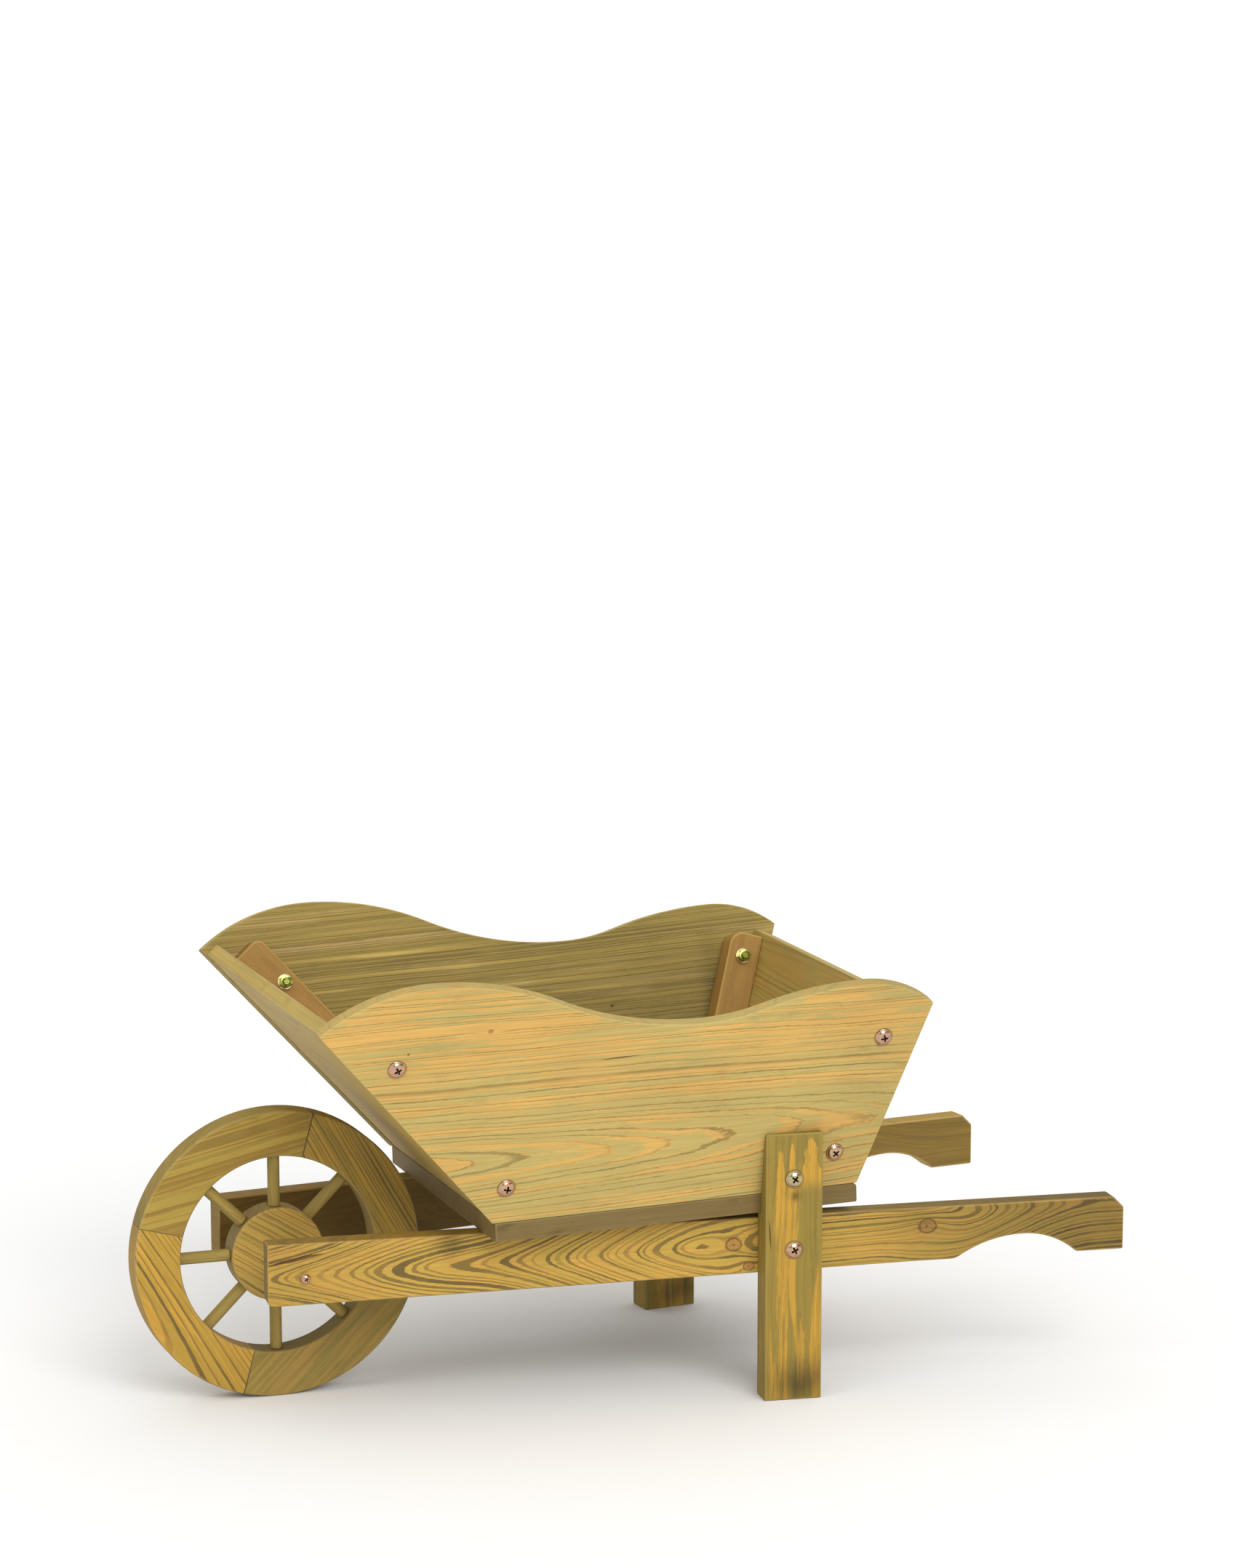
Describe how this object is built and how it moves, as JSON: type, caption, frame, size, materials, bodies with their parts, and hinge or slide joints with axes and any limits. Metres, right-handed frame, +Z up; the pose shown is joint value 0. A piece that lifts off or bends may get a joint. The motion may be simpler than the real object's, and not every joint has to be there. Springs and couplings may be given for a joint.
{
  "type": "wheelbarrow planter",
  "caption": "Small wooden wheelbarrow planter: a flared tub with waved sides on two splayed shafts, with a spoked wheel in front and legs behind.",
  "frame": {"origin": "on the floor, under the middle of the object's box", "axes": "+X from the wheel to the grips, +Y to the right-hand side of a user at the grips who faces the wheel, +Z up"},
  "size_m": [0.8082, 0.3932, 0.3736],
  "materials": {
    "tub_wood": "oiled sawn pine",
    "floor_wood": "dark oiled pine",
    "inside_wood": "stained pine",
    "batten_wood": "stained pine",
    "shaft_wood": "oiled pine with knots",
    "leg_wood": "oiled planed pine",
    "wheel_wood": "oiled pine",
    "spoke_wood": "oiled beech dowel",
    "bright_zinc": "zinc plated",
    "yellow_zinc": "yellow zinc plated"
  },
  "bodies": {
    "barrow": {"floor_board": "floor_wood", "side_board_left": "tub_wood", "side_board_right": "tub_wood", "front_board": "inside_wood", "rear_board": "inside_wood", "batten_front_left": "batten_wood", "batten_front_right": "batten_wood", "batten_rear_left": "batten_wood", "batten_rear_right": "batten_wood", "shaft_left": "shaft_wood", "shaft_right": "shaft_wood", "leg_left": "leg_wood", "leg_right": "leg_wood", "tub_bolts": "bright_zinc", "tub_washers": "yellow_zinc", "tub_nuts": "yellow_zinc", "leg_bolts": "bright_zinc", "leg_washers": "yellow_zinc", "leg_nuts": "yellow_zinc", "floor_screws": "yellow_zinc", "shaft_screws": "yellow_zinc", "front_board_pins": "bright_zinc", "rear_board_pins": "bright_zinc"},
    "wheel": {"wheel_hub": "wheel_wood", "wheel_spokes": "spoke_wood", "felloe_1": "wheel_wood", "felloe_2": "wheel_wood", "felloe_3": "wheel_wood", "felloe_4": "wheel_wood", "axle_dowel": "spoke_wood", "axle_screws": "bright_zinc"}
  },
  "joints": [
    {"name": "wheel_spin", "type": "hinge", "parent": "barrow", "child": "wheel", "pos_m": [-0.28413, 0, 0.12], "axis": [0, 1, 0], "continuous": true}
  ]
}
